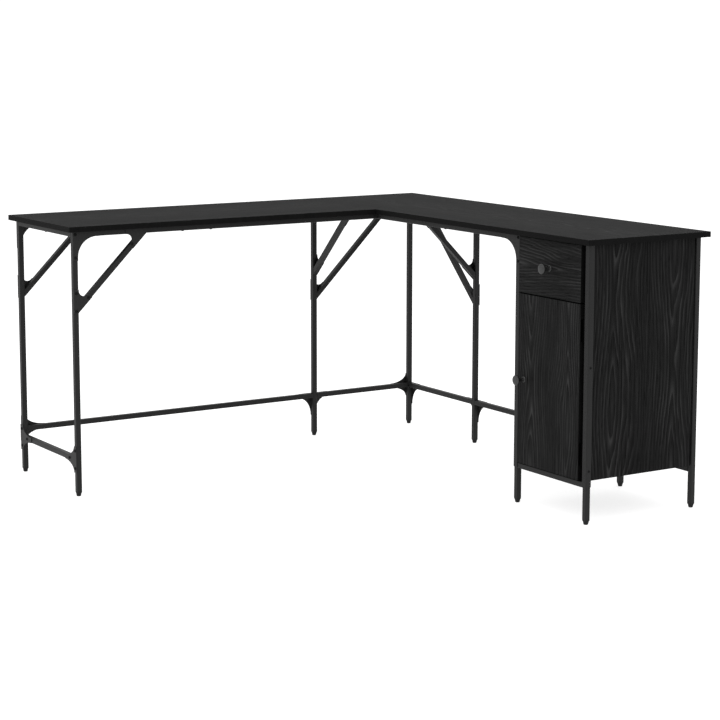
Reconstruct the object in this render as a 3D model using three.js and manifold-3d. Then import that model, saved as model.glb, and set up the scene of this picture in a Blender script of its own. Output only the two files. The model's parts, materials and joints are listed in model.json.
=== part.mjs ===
// Corner desk: an L-shaped board top on a square-tube steel frame, with a drawer and door cabinet.
// Millimetres, +Z up. The origin is on the floor, below the middle of the top's outline.
// The left wing runs along -X at the back (+Y), the right wing along -Y at the right (+X).
import * as THREE from "three";
import Module from "manifold-3d";
import { mergeVertices } from "three/addons/utils/BufferGeometryUtils.js";

// ---- driving dimensions -------------------------------------------------------------------
const DESK_LENGTH_X = 1415;
const DESK_LENGTH_Y = 1435;
const DESK_HEIGHT = 760;
const LEFT_WING_DEPTH = 423;
const RIGHT_WING_DEPTH = 417;
const BOARD_THICKNESS = 15;
const BOARD_OVERHANG = 18;
const BOARD_SEAM = 0.3;

const TUBE = 15;
const TUBE_WALL = 1.2;
const TUBE_CORNER = 1.6;
const TOUCH_GAP = 0.3;
const CUT_PAST = 1;
const ROUND_SIDES = 20;

const FOOT_HEIGHT = 12;
const FOOT_TIP = 9.6;
const FOOT_SHOULDER_INSET = 0.4;
const FOOT_STEM = 10;
const FOOT_STEM_CORNER = 1;
const FOOT_STEM_LAP = 2;

const LONG_RAIL_Z = 130;
const END_RAIL_Z = 104.5;

const SHEET = 1.5;
const TOP_GUSSET_RADIUS = 56;
const TOP_GUSSET_PAST_FILLET = 10;
const TEE_GUSSET_REACH = 60;
const TEE_GUSSET_RISE = 30;
const DROP_GUSSET_REACH = 45;
const DROP_GUSSET_RISE = 57;

const BENT_EDGE_LAP = 0.5;
const STRUT = 14;
const STRUT_PLATE_WIDTH = 16;
const STRUT_FILLET = 16;
const STRUT_PLATE_PAST_FILLET = 4;
const STRUT_PLATE_ABOVE_FILLET = 3;
const STRUT_PLATE_HEEL = 2;
const END_BRACE_LEG = 210;
const CROSS_BRACE_STEP = 80;
const BACK_BRACE_TO_CORNER_LEG = 61;
const SIDE_BRACE_TO_CORNER_LEG = 67;

const CABINET_LEG_SPACING = 300;
const PANEL = 15;
const PANEL_RECESS = 3;
const PANEL_SIDE_GAP = 3.3;
const FLOOR_FRAME_BOTTOM_Z = 99;
const PANEL_ABOVE_FLOOR_FRAME = 4;

const FRONT_PROUD = 6;
const FRONT_GAP_KNOB_SIDE = 6;
const FRONT_GAP_HINGE_SIDE = 13;
const DOOR_GAP_ABOVE_RAIL = 3;
const DRAWER_FRONT_HEIGHT = 152;
const DRAWER_FRONT_TOP_GAP = 3;
const FRONTS_GAP = 3;

const TRAY_WALL = 10;
const TRAY_FLOOR = 6;
const TRAY_RISE = 10;
const TRAY_BELOW_FRONT_TOP = 27;
const TRAY_BACK_GAP = 18.4;
const RUNNER_THICKNESS = 12.4;
const RUNNER_HEIGHT = 35;

const HINGE_HEIGHT = 60;
const HINGE_LEAF = 1.2;
const HINGE_KNUCKLE_RADIUS = 3.2;
const HINGE_LEAF_SETBACK = 2;
const HINGE_END_DISTANCE = 70;

const KNOB_BASE_RADIUS = 8;
const KNOB_BASE_HEIGHT = 1.5;
const KNOB_NECK_RADIUS = 6;
const KNOB_NECK_START = 4;
const KNOB_NECK_END = 17;
const KNOB_HEAD_RADIUS = 14;
const KNOB_RIM_BOTTOM = 23;
const KNOB_RIM_TOP = 27;
const KNOB_PROJECTION = 30.5;
const DRAWER_KNOB_RISE = 2;
const KNOB_EDGE_DISTANCE = 26;

// ---- places worked out from the driving dimensions ----------------------------------------
const outX = DESK_LENGTH_X / 2;
const outY = DESK_LENGTH_Y / 2;
const half = TUBE / 2;
const legInset = BOARD_OVERHANG + half;
const boardUnder = DESK_HEIGHT - BOARD_THICKNESS;
const apronBottom = boardUnder - TOUCH_GAP - TUBE;

const xLeft = -outX + legInset;
const xRight = outX - legInset;
const xKnee = outX - RIGHT_WING_DEPTH + legInset;
const yBack = outY - legInset;
const yEnd = -outY + legInset;
const yKnee = outY - LEFT_WING_DEPTH + legInset;
const yCabinet = yEnd + CABINET_LEG_SPACING;

// ---- finishes -----------------------------------------------------------------------------
const finish = (color, roughness, metalness) => ({ color, roughness, metalness });
const BLACK_OAK_TOP = finish(0x3d3d3c, 0.62, 0);
const BLACK_OAK_FRONT = finish(0x2a2a2a, 0.6, 0);
const BLACK_STEEL = finish(0x333333, 0.5, 0.4);
const BLACK_PLASTIC = finish(0x1c1c1c, 0.55, 0);
const ZINC = finish(0x8b8d8f, 0.4, 0.9);
const SATIN_METAL = finish(0x4f4f4f, 0.35, 0.7);

// ---- closed solids, joined and cut ------------------------------------------------------------
const MERGE_DISTANCE = 1e-4;
const wasm = await Module();
wasm.setup();

function toSolid(geometry) {
  const bare = geometry.index ? geometry.toNonIndexed() : geometry.clone();
  bare.deleteAttribute("normal");
  bare.deleteAttribute("uv");
  const merged = mergeVertices(bare, MERGE_DISTANCE);
  const vertProperties = new Float32Array(merged.attributes.position.array);
  const triVerts = new Uint32Array(merged.index.array);
  return new wasm.Manifold(new wasm.Mesh({ numProp: 3, vertProperties, triVerts }));
}

function toGeometry(solid) {
  const mesh = solid.getMesh();
  const geometry = new THREE.BufferGeometry();
  geometry.setAttribute("position", new THREE.BufferAttribute(mesh.vertProperties, 3));
  geometry.setIndex(new THREE.BufferAttribute(mesh.triVerts, 1));
  geometry.computeVertexNormals();
  return geometry;
}

function block(low, high) {
  const size = high.map((value, axis) => value - low[axis]);
  const geometry = new THREE.BoxGeometry(...size);
  geometry.translate(...low.map((value, axis) => value + size[axis] / 2));
  return geometry;
}

function flatOutline(points) {
  return new THREE.Shape(points.map(([a, b]) => new THREE.Vector2(a, b)));
}

// A quarter of an ellipse from one point to another, in equal steps of angle.
function quarter(center, radiusA, radiusB, fromDegrees, toDegrees, steps = 8) {
  const points = [];
  for (let step = 0; step <= steps; step += 1) {
    const angle = THREE.MathUtils.degToRad(fromDegrees + ((toDegrees - fromDegrees) * step) / steps);
    points.push([center[0] + radiusA * Math.cos(angle), center[1] + radiusB * Math.sin(angle)]);
  }
  return points;
}

function roundedSquare(width, corner, steps = 3) {
  const reach = width / 2 - corner;
  const points = [];
  [[1, 1, 0], [-1, 1, 90], [-1, -1, 180], [1, -1, 270]].forEach(([signA, signB, start]) => {
    points.push(...quarter([signA * reach, signB * reach], corner, corner, start, start + 90, steps));
  });
  return points;
}

function prism(points, length) {
  return new THREE.ExtrudeGeometry(flatOutline(points), { depth: length, bevelEnabled: false });
}

// ---- square tube: outer profile and bore, from one point to another along X, Y or Z ----------
function tubePair(axis, from, to, fixed, past = CUT_PAST) {
  const length = to - from;
  const outer = prism(roundedSquare(TUBE, TUBE_CORNER), length);
  const bore = prism(roundedSquare(TUBE - 2 * TUBE_WALL, TUBE_CORNER / 2, 1), length + 2 * past);
  bore.translate(0, 0, -past);
  return [outer, bore].map((geometry) => {
    if (axis === "x") geometry.rotateY(Math.PI / 2).translate(from, fixed[0], fixed[1]);
    if (axis === "y") geometry.rotateX(-Math.PI / 2).translate(fixed[0], from, fixed[1]);
    if (axis === "z") geometry.translate(fixed[0], fixed[1], from);
    return toSolid(geometry);
  });
}

function weldedTubes(runs) {
  const pairs = runs.map((run) => tubePair(...run));
  const skin = pairs.map((pair) => pair[0]).reduce((sum, solid) => sum.add(solid));
  const bores = pairs.map((pair) => pair[1]).reduce((sum, solid) => sum.add(solid));
  return toGeometry(skin.subtract(bores));
}

function tube(axis, from, to, fixed) {
  return weldedTubes([[axis, from, to, fixed]]);
}

// ---- the group that holds every piece ---------------------------------------------------------
const desk = new THREE.Group();
desk.name = "corner_desk";

function place(name, geometry, look, parent = desk) {
  const mesh = new THREE.Mesh(geometry, new THREE.MeshStandardMaterial(look));
  mesh.name = name;
  parent.add(mesh);
  return mesh;
}

// ---- top boards ---------------------------------------------------------------------------------
const seamX = outX - RIGHT_WING_DEPTH;
const boardBlock = (low, high) => block([...low, boardUnder], [...high, DESK_HEIGHT]);
place(
  "top_board_left",
  boardBlock([-outX, outY - LEFT_WING_DEPTH], [seamX - BOARD_SEAM / 2, outY]),
  BLACK_OAK_TOP,
);
place("top_board_right", boardBlock([seamX + BOARD_SEAM / 2, -outY], [outX, outY]), BLACK_OAK_TOP);

// ---- legs and their feet --------------------------------------------------------------------------
const LEGS = {
  left_back: [xLeft, yBack],
  left_front: [xLeft, yKnee],
  back_middle: [xKnee, yBack],
  corner: [xRight, yBack],
  right_middle: [xRight, yKnee],
  cabinet_front_inner: [xKnee, yCabinet],
  cabinet_front_outer: [xKnee, yEnd],
  cabinet_back_inner: [xRight, yCabinet],
  cabinet_back_outer: [xRight, yEnd],
};

// A moulded plug: a tapered tip below the tube and a square stem inside it.
function footGeometry() {
  const bore = TUBE - 2 * TUBE_WALL;
  const tipHeight = FOOT_HEIGHT - TOUCH_GAP;
  const shoulder = half - FOOT_SHOULDER_INSET;
  const tip = new THREE.CylinderGeometry(shoulder, FOOT_TIP / 2, tipHeight, ROUND_SIDES);
  tip.rotateX(Math.PI / 2);
  tip.translate(0, 0, tipHeight / 2);
  const stemProfile = roundedSquare(bore - 2 * TOUCH_GAP, FOOT_STEM_CORNER, 1);
  const stem = prism(stemProfile, FOOT_STEM + FOOT_STEM_LAP);
  stem.translate(0, 0, tipHeight - FOOT_STEM_LAP);
  return toGeometry(toSolid(tip).add(toSolid(stem)));
}

for (const [name, [x, y]] of Object.entries(LEGS)) {
  place(`leg_${name}`, tube("z", FOOT_HEIGHT, boardUnder - TOUCH_GAP, [x, y]), BLACK_STEEL);
  place(`foot_${name}`, footGeometry(), BLACK_PLASTIC).position.set(x, y, 0);
}

// ---- rails near the floor and aprons below the boards ------------------------------------------------
const apronZ = apronBottom + half;
const clear = half + TOUCH_GAP;
const between = (a, b) => [a + clear, b - clear];

place("rail_back_left", tube("x", ...between(xLeft, xKnee), [yBack, LONG_RAIL_Z]), BLACK_STEEL);
place("rail_back_right", tube("x", ...between(xKnee, xRight), [yBack, LONG_RAIL_Z]), BLACK_STEEL);
place("rail_side_inner", tube("y", ...between(yKnee, yBack), [xRight, LONG_RAIL_Z]), BLACK_STEEL);
place("rail_side_outer", tube("y", ...between(yCabinet, yKnee), [xRight, LONG_RAIL_Z]), BLACK_STEEL);
place("rail_left_end", tube("y", ...between(yKnee, yBack), [xLeft, END_RAIL_Z]), BLACK_STEEL);

place("apron_back_left", tube("x", ...between(xLeft, xKnee), [yBack, apronZ]), BLACK_STEEL);
place("apron_back_right", tube("x", ...between(xKnee, xRight), [yBack, apronZ]), BLACK_STEEL);
place("apron_side_inner", tube("y", ...between(yKnee, yBack), [xRight, apronZ]), BLACK_STEEL);
place("apron_side_outer", tube("y", ...between(yCabinet, yKnee), [xRight, apronZ]), BLACK_STEEL);
place("apron_left_end", tube("y", ...between(yKnee, yBack), [xLeft, apronZ]), BLACK_STEEL);

// The two tubes that cross at the inner corner, where there is no leg, are welded to each other.
place(
  "inner_corner_frame",
  weldedTubes([
    ["x", ...between(xLeft, xRight), [yKnee, apronZ]],
    ["y", ...between(yCabinet, yBack), [xKnee, apronZ]],
  ]),
  BLACK_STEEL,
);

// ---- sheet brackets: outlines in (reach from the leg's edge, height) ----------------------------------
// A bracket lies on the outer face of its leg. heading is the way along the wing, from the leg.
function onFace(geometry, leg, heading, faceOffset, z) {
  const turn = { east: 0, north: Math.PI / 2, west: Math.PI, south: -Math.PI / 2 }[heading];
  const along = new THREE.Vector3(Math.cos(turn), Math.sin(turn), 0);
  const [x, y] = LEGS[leg];
  const start = new THREE.Vector3(x, y, z).addScaledVector(along, half);
  geometry.rotateX(Math.PI / 2);
  geometry.rotateZ(turn);
  const across = new THREE.Vector3(-along.y, along.x, 0).multiplyScalar(faceOffset);
  geometry.translate(start.x + across.x, start.y + across.y, start.z);
  return geometry;
}

// After the turn, a prism's depth runs to the right of its heading, from faceOffset.
function sheetOffset(side) {
  return side === "right" ? -(half + TOUCH_GAP) : half + TOUCH_GAP + SHEET;
}

function sheet(points, leg, heading, side, z) {
  return toSolid(onFace(prism(points, SHEET), leg, heading, sheetOffset(side), z));
}

// Large corner gusset below the apron, with a strip on the leg and one on the apron.
function topGusset(leg, heading, side) {
  const radius = TOP_GUSSET_RADIUS;
  const strip = radius + TOP_GUSSET_PAST_FILLET;
  const outline = [
    [-TUBE, TUBE],
    [-TUBE, -strip],
    [0, -strip],
    ...quarter([radius, -radius], radius, radius, 180, 90, 10),
    [strip, 0],
    [strip, TUBE],
  ];
  return sheet(outline, leg, heading, side, apronBottom);
}

place("gusset_top_left_front", toGeometry(topGusset("left_front", "east", "right")), BLACK_STEEL);
place("gusset_top_left_back", toGeometry(topGusset("left_back", "east", "left")), BLACK_STEEL);
place(
  "gusset_top_cabinet",
  toGeometry(topGusset("cabinet_front_inner", "north", "left")),
  BLACK_STEEL,
);

// Tee gusset: the wing covers the rail, with a hollow curve above and below it.
function teeOutline() {
  const rise = TEE_GUSSET_RISE;
  const reach = TEE_GUSSET_REACH;
  return [
    [-TUBE, -half - rise],
    [0, -half - rise],
    ...quarter([reach, -half - rise], reach, rise, 180, 90).slice(1),
    ...quarter([reach, half + rise], reach, rise, 270, 180).slice(0, -1),
    [0, half + rise],
    [-TUBE, half + rise],
  ];
}

// Drop gusset: the wing covers the rail and curves down the leg below it.
function dropOutline() {
  const rise = DROP_GUSSET_RISE;
  const reach = DROP_GUSSET_REACH;
  return [
    [-TUBE, -half - rise],
    [0, -half - rise],
    ...quarter([reach, -half - rise], reach, rise, 180, 90).slice(1),
    [reach, half],
    [-TUBE, half],
  ];
}

place(
  "gusset_low_left_front",
  toGeometry(sheet(teeOutline(), "left_front", "north", "left", END_RAIL_Z)),
  BLACK_STEEL,
);

// Two wings of one bent bracket meet round the outer edge of a leg.
function bentPair(first, second) {
  const [x, y] = LEGS[first.leg];
  const edge = half + TOUCH_GAP;
  const low = Math.max(first.low, second.low);
  const high = Math.min(first.high, second.high);
  const [signX, signY] = first.corner;
  const span = (center, sign) =>
    [center + sign * (edge - BENT_EDGE_LAP), center + sign * (edge + SHEET)].sort((a, b) => a - b);
  const spanX = span(x, signX);
  const spanY = span(y, signY);
  const bentEdge = toSolid(block([spanX[0], spanY[0], low], [spanX[1], spanY[1], high]));
  const legBody = toSolid(
    block([x - edge, y - edge, low - CUT_PAST], [x + edge, y + edge, high + CUT_PAST]),
  );
  return toGeometry(first.solid.add(second.solid).add(bentEdge).subtract(legBody));
}

const teeReachZ = half + TEE_GUSSET_RISE;
const dropReachZ = half + DROP_GUSSET_RISE;

place(
  "gusset_low_left_back",
  bentPair(
    {
      leg: "left_back",
      corner: [-1, 1],
      solid: sheet(teeOutline(), "left_back", "east", "left", LONG_RAIL_Z),
      low: LONG_RAIL_Z - teeReachZ,
      high: LONG_RAIL_Z + teeReachZ,
    },
    {
      solid: sheet(teeOutline(), "left_back", "south", "right", END_RAIL_Z),
      low: END_RAIL_Z - teeReachZ,
      high: END_RAIL_Z + teeReachZ,
    },
  ),
  BLACK_STEEL,
);

place(
  "gusset_low_corner",
  bentPair(
    {
      leg: "corner",
      corner: [1, 1],
      solid: sheet(teeOutline(), "corner", "west", "right", LONG_RAIL_Z),
      low: LONG_RAIL_Z - teeReachZ,
      high: LONG_RAIL_Z + teeReachZ,
    },
    {
      solid: sheet(dropOutline(), "corner", "south", "left", LONG_RAIL_Z),
      low: LONG_RAIL_Z - dropReachZ,
      high: LONG_RAIL_Z + half,
    },
  ),
  BLACK_STEEL,
);

// Two drop wings on one leg, one to each side of it.
function doubleDrop(leg, headings, sides) {
  const wings = headings.map((heading, index) =>
    sheet(dropOutline(), leg, heading, sides[index], LONG_RAIL_Z),
  );
  return toGeometry(wings[0].add(wings[1]));
}

const backWings = doubleDrop("back_middle", ["east", "west"], ["left", "right"]);
const sideWings = doubleDrop("right_middle", ["north", "south"], ["right", "left"]);
place("gusset_low_back", backWings, BLACK_STEEL);
place("gusset_low_side", sideWings, BLACK_STEEL);

// ---- braces: a 45 degree strut with a filleted plate at each end ------------------------------------
// The plate's outline at the leg; swapped and mirrored, it is also the plate at the apron.
function bracePlate() {
  const radius = STRUT_FILLET;
  const lift = STRUT_PLATE_WIDTH * Math.SQRT2;
  const centerHeight = lift + radius * (1 + Math.SQRT2);
  const step = Math.SQRT1_2;
  const filletEnd = [radius + radius * step, centerHeight - radius * step];
  const plateEnd = filletEnd.map((value) => value + STRUT_PLATE_PAST_FILLET * step);
  const width = STRUT_PLATE_WIDTH * step;
  const outerEnd = [plateEnd[0] + width, plateEnd[1] - width];
  const tip = centerHeight + STRUT_PLATE_ABOVE_FILLET;
  return [
    [-TUBE, -STRUT_PLATE_HEEL],
    [-STRUT_PLATE_HEEL, -STRUT_PLATE_HEEL],
    [0, 0],
    outerEnd,
    plateEnd,
    ...quarter([radius, centerHeight], radius, radius, 315, 180, 8),
    [0, tip],
    [-TUBE, tip],
  ];
}

function brace(leg, heading, side, drop) {
  const low = bracePlate();
  const high = low.map(([reach, rise]) => [drop - rise, drop - reach]).reverse();
  const inset = (STRUT_PLATE_WIDTH - STRUT) / 2;
  const strutLow = inset * Math.SQRT2;
  const strutHigh = strutLow + STRUT * Math.SQRT2;
  const strutOutline = [
    [TOUCH_GAP, strutLow + TOUCH_GAP],
    [drop - strutLow - TOUCH_GAP, drop - TOUCH_GAP],
    [drop - strutHigh - TOUCH_GAP, drop - TOUCH_GAP],
    [TOUCH_GAP, strutHigh + TOUCH_GAP],
  ];
  const z = apronBottom - drop;
  const plates = [low, high].map((outline) => sheet(outline, leg, heading, side, z));
  const strutDepth = STRUT + TOUCH_GAP + SHEET / 2;
  const plateMiddle = half + TOUCH_GAP + SHEET / 2;
  const strutOffset = side === "right" ? strutDepth - plateMiddle : plateMiddle;
  const strut = toSolid(onFace(prism(strutOutline, strutDepth), leg, heading, strutOffset, z));
  return toGeometry(strut.add(plates[0]).add(plates[1]));
}

// The two long braces nearly span the bay between their leg and the corner leg, and a
// cross brace on the same leg ends one step above the long one.
const backBraceLeg = xRight - xKnee - TUBE - BACK_BRACE_TO_CORNER_LEG;
const sideBraceLeg = yBack - yKnee - TUBE - SIDE_BRACE_TO_CORNER_LEG;
const BRACES = [
  ["brace_left_front", "left_front", "east", "right", END_BRACE_LEG],
  ["brace_left_back", "left_back", "east", "left", END_BRACE_LEG],
  ["brace_back_long", "back_middle", "east", "left", backBraceLeg],
  ["brace_back_cross", "back_middle", "south", "left", backBraceLeg - CROSS_BRACE_STEP],
  ["brace_side_long", "right_middle", "north", "right", sideBraceLeg],
  ["brace_side_cross", "right_middle", "west", "right", sideBraceLeg - CROSS_BRACE_STEP],
];
for (const [name, leg, heading, side, drop] of BRACES) {
  place(name, brace(leg, heading, side, drop), BLACK_STEEL);
}

// ---- cabinet: frames at top and bottom, then panels ---------------------------------------------------
// The outer end panel reaches up to the board, so the top frame's outer tube runs inside it.
const outerPanelY = [yEnd - half + PANEL_RECESS, yEnd - half + PANEL_RECESS + PANEL];
const yInsideTube = outerPanelY[1] + TOUCH_GAP + half;
place(
  "cabinet_top_frame",
  weldedTubes([
    ["x", xKnee + clear, xRight - clear, [yCabinet, apronZ]],
    ["x", xKnee + clear, xRight - clear, [yInsideTube, apronZ]],
    ["y", yInsideTube, yCabinet, [xRight - TUBE - TOUCH_GAP, apronZ], 0],
  ]),
  BLACK_STEEL,
);

const floorFrameZ = FLOOR_FRAME_BOTTOM_Z + half;
const yMiddle = (yEnd + yCabinet) / 2;
place(
  "cabinet_floor_frame",
  weldedTubes([
    ["y", yEnd + clear, yCabinet - clear, [xKnee, floorFrameZ]],
    ["y", yEnd + clear, yCabinet - clear, [xRight, floorFrameZ]],
    ["x", xKnee, xRight, [yMiddle, floorFrameZ], 0],
  ]),
  BLACK_STEEL,
);

const floorFrameTop = FLOOR_FRAME_BOTTOM_Z + TUBE;
const endPanelBottom = floorFrameTop + PANEL_ABOVE_FLOOR_FRAME;
const endPanelX = [xKnee + half + PANEL_SIDE_GAP, xRight - half - PANEL_SIDE_GAP];
const panelTop = apronBottom - TOUCH_GAP;
const innerPanelY = [yCabinet + half - PANEL_RECESS - PANEL, yCabinet + half - PANEL_RECESS];
const endPanels = [
  ["outer", outerPanelY, boardUnder - TOUCH_GAP],
  ["inner", innerPanelY, panelTop],
];
for (const [name, [low, high], top] of endPanels) {
  place(
    `cabinet_end_${name}`,
    block([endPanelX[0], low, endPanelBottom], [endPanelX[1], high, top]),
    BLACK_OAK_FRONT,
  );
}
const insideY = [outerPanelY[1] + TOUCH_GAP, innerPanelY[0] - TOUCH_GAP];
const bottomZ = floorFrameTop + TOUCH_GAP;
const backPanelX = [endPanelX[1] - PANEL, endPanelX[1]];
place(
  "cabinet_back",
  block([backPanelX[0], insideY[0], bottomZ], [backPanelX[1], insideY[1], panelTop]),
  BLACK_OAK_FRONT,
);
place(
  "cabinet_bottom",
  block(
    [endPanelX[0], insideY[0], bottomZ],
    [backPanelX[0] - TOUCH_GAP, insideY[1], bottomZ + PANEL],
  ),
  BLACK_OAK_FRONT,
);

// ---- drawer and door: both fronts stand a little proud of the legs --------------------------------------
const frontX = xKnee - half - FRONT_PROUD;
const frontY = [yEnd + half + FRONT_GAP_HINGE_SIDE, yCabinet - half - FRONT_GAP_KNOB_SIDE];
const frontMiddleY = (frontY[0] + frontY[1]) / 2;
const drawerTop = boardUnder - DRAWER_FRONT_TOP_GAP;
const drawerBottom = drawerTop - DRAWER_FRONT_HEIGHT;
const doorTop = drawerBottom - FRONTS_GAP;
const doorBottom = floorFrameTop + DOOR_GAP_ABOVE_RAIL;

place(
  "drawer_front",
  block([frontX, frontY[0], drawerBottom], [frontX + PANEL, frontY[1], drawerTop]),
  BLACK_OAK_FRONT,
);
place(
  "door",
  block([frontX, frontY[0], doorBottom], [frontX + PANEL, frontY[1], doorTop]),
  BLACK_OAK_FRONT,
);

const runnerSpace = RUNNER_THICKNESS + TOUCH_GAP;
const trayX = [frontX + PANEL + TOUCH_GAP, backPanelX[0] - TRAY_BACK_GAP];
const trayY = [insideY[0] + runnerSpace, insideY[1] - runnerSpace];
const trayZ = [drawerBottom + TRAY_RISE, drawerTop - TRAY_BELOW_FRONT_TOP];
const traySkin = toSolid(block([trayX[0], trayY[0], trayZ[0]], [trayX[1], trayY[1], trayZ[1]]));
const trayHollow = toSolid(
  block(
    [trayX[0] + TRAY_WALL, trayY[0] + TRAY_WALL, trayZ[0] + TRAY_FLOOR],
    [trayX[1] - TRAY_WALL, trayY[1] - TRAY_WALL, trayZ[1] + CUT_PAST],
  ),
);
place("drawer_tray", toGeometry(traySkin.subtract(trayHollow)), BLACK_OAK_FRONT);

// Fixed runners on the end panels, beside the tray.
const runnerZ = (trayZ[0] + trayZ[1]) / 2;
const runnerX = [endPanelX[0], trayX[1]];
const runnerSides = [
  ["outer", [insideY[0], insideY[0] + RUNNER_THICKNESS]],
  ["inner", [insideY[1] - RUNNER_THICKNESS, insideY[1]]],
];
for (const [name, [low, high]] of runnerSides) {
  const bottom = [runnerX[0], low, runnerZ - RUNNER_HEIGHT / 2];
  const top = [runnerX[1], high, runnerZ + RUNNER_HEIGHT / 2];
  place(`runner_${name}`, block(bottom, top), ZINC);
}

// Hinges: a leaf on the outer front leg, with its knuckle in the middle of the gap.
const hingeY = yEnd + half + FRONT_GAP_HINGE_SIDE / 2;
const hingeX = frontX + PANEL / 2;
function hingeGeometry() {
  const radius = HINGE_KNUCKLE_RADIUS;
  const end = HINGE_HEIGHT / 2;
  const knuckle = new THREE.CylinderGeometry(radius, radius, HINGE_HEIGHT, ROUND_SIDES);
  knuckle.rotateX(Math.PI / 2);
  const leafLow = yEnd + half + TOUCH_GAP - hingeY;
  const leaf = block([0, leafLow, -end], [TUBE - HINGE_LEAF_SETBACK, leafLow + HINGE_LEAF, end]);
  const web = block([0, leafLow, -end], [HINGE_LEAF, 0, end]);
  return toGeometry(toSolid(knuckle).add(toSolid(leaf)).add(toSolid(web)));
}
const hingeHeights = {
  lower: doorBottom + HINGE_END_DISTANCE,
  upper: doorTop - HINGE_END_DISTANCE,
};
for (const [name, z] of Object.entries(hingeHeights)) {
  place(`door_hinge_${name}`, hingeGeometry(), ZINC).position.set(hingeX, hingeY, z);
}

// Mushroom knobs, turned about the X axis.
function knobGeometry() {
  const profile = [
    [0, 0],
    [KNOB_BASE_RADIUS, 0],
    [KNOB_BASE_RADIUS, KNOB_BASE_HEIGHT],
    [KNOB_NECK_RADIUS, KNOB_NECK_START],
    [KNOB_NECK_RADIUS, KNOB_NECK_END],
    [KNOB_HEAD_RADIUS, KNOB_RIM_BOTTOM],
    ...quarter([0, KNOB_RIM_TOP], KNOB_HEAD_RADIUS, KNOB_PROJECTION - KNOB_RIM_TOP, 0, 90, 5),
  ].map(([radius, height]) => new THREE.Vector2(radius, height));
  const turned = new THREE.LatheGeometry(profile, 28);
  turned.rotateZ(Math.PI / 2);
  return toGeometry(toSolid(turned));
}
const knobPlaces = {
  drawer: [frontMiddleY, (drawerTop + drawerBottom) / 2 + DRAWER_KNOB_RISE],
  door: [frontY[1] - KNOB_EDGE_DISTANCE, (doorTop + doorBottom) / 2],
};
for (const [name, [y, z]] of Object.entries(knobPlaces)) {
  place(`${name}_knob`, knobGeometry(), SATIN_METAL).position.set(frontX - TOUCH_GAP, y, z);
}

export default desk;
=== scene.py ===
import json
import math

import bpy
import numpy as np
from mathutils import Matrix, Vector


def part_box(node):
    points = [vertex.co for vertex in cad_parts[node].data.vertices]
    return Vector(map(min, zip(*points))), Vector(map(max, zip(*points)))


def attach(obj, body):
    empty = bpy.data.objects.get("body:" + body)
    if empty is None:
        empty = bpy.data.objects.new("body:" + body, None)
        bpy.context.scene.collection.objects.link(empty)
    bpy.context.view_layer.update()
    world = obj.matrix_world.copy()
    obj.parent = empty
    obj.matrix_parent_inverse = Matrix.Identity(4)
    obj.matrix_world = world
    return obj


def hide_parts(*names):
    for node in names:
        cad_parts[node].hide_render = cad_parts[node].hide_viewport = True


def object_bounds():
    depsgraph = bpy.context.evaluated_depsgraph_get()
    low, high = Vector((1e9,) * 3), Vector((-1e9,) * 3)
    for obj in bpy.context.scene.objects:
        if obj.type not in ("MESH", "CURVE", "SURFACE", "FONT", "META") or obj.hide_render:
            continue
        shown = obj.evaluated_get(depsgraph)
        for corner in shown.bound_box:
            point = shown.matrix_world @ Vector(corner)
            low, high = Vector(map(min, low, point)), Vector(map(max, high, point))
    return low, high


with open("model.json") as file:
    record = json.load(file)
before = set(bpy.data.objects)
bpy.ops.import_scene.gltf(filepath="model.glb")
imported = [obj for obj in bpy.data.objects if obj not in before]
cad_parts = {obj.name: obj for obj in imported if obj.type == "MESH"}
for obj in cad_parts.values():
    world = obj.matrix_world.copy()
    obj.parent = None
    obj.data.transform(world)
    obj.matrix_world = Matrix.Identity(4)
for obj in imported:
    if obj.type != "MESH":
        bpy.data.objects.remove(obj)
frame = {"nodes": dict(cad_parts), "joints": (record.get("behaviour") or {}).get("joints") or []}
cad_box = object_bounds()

# ---- studio ---------------------------------------------------------------------------------
# A white floor that glows a little, so that shadows on it stay faint, under a white surround. A
# wide soft box is high on the left, a weaker one on the right and one above, and the camera is at
# a low eye height, turned to the desk's open side.
EYE = (-3.0371, -4.8315, 1.3329)
EYE_TURN = math.radians(32.103)
EYE_DOWN = math.radians(8.359)
EYE_LENS = 102.507
EYE_SHIFT = (0.0226, -0.06)
FLOOR_REACH = 400.0
FLOOR_WHITE = 0.45
FLOOR_GLOW = 0.75
SURROUND_GLOW = 1.1

camera_data = bpy.data.cameras.new("studio_camera")
camera_data.lens = EYE_LENS
camera_data.sensor_width = 36.0
camera_data.shift_x, camera_data.shift_y = EYE_SHIFT
camera = bpy.data.objects.new("studio_camera", camera_data)
camera.location = EYE
camera.rotation_euler = (math.pi / 2 - EYE_DOWN, 0.0, -EYE_TURN)
bpy.context.scene.collection.objects.link(camera)
bpy.context.scene.camera = camera
bpy.context.scene.view_settings.view_transform = "Standard"


def soft_box(name, place, target, size, power):
    """A square area light at a place, turned to shine at a target."""
    data = bpy.data.lights.new(name, "AREA")
    data.size = size
    data.energy = power
    light = bpy.data.objects.new(name, data)
    light.location = place
    away = np.array(place) - np.array(target)
    reach = math.hypot(away[0], away[1])
    light.rotation_euler = (math.atan2(reach, away[2]), 0.0, math.atan2(away[0], -away[1]))
    bpy.context.scene.collection.objects.link(light)


desk_middle = [(low + high) / 2 for low, high in zip(*cad_box)]
soft_box("key_box", (-2.6, -2.2, 3.4), desk_middle, 2.6, 36.0)
soft_box("fill_box", (3.0, -3.4, 2.4), desk_middle, 2.4, 10.0)
soft_box("top_box", (0.2, 0.4, 3.8), desk_middle, 3.0, 45.0)

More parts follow.
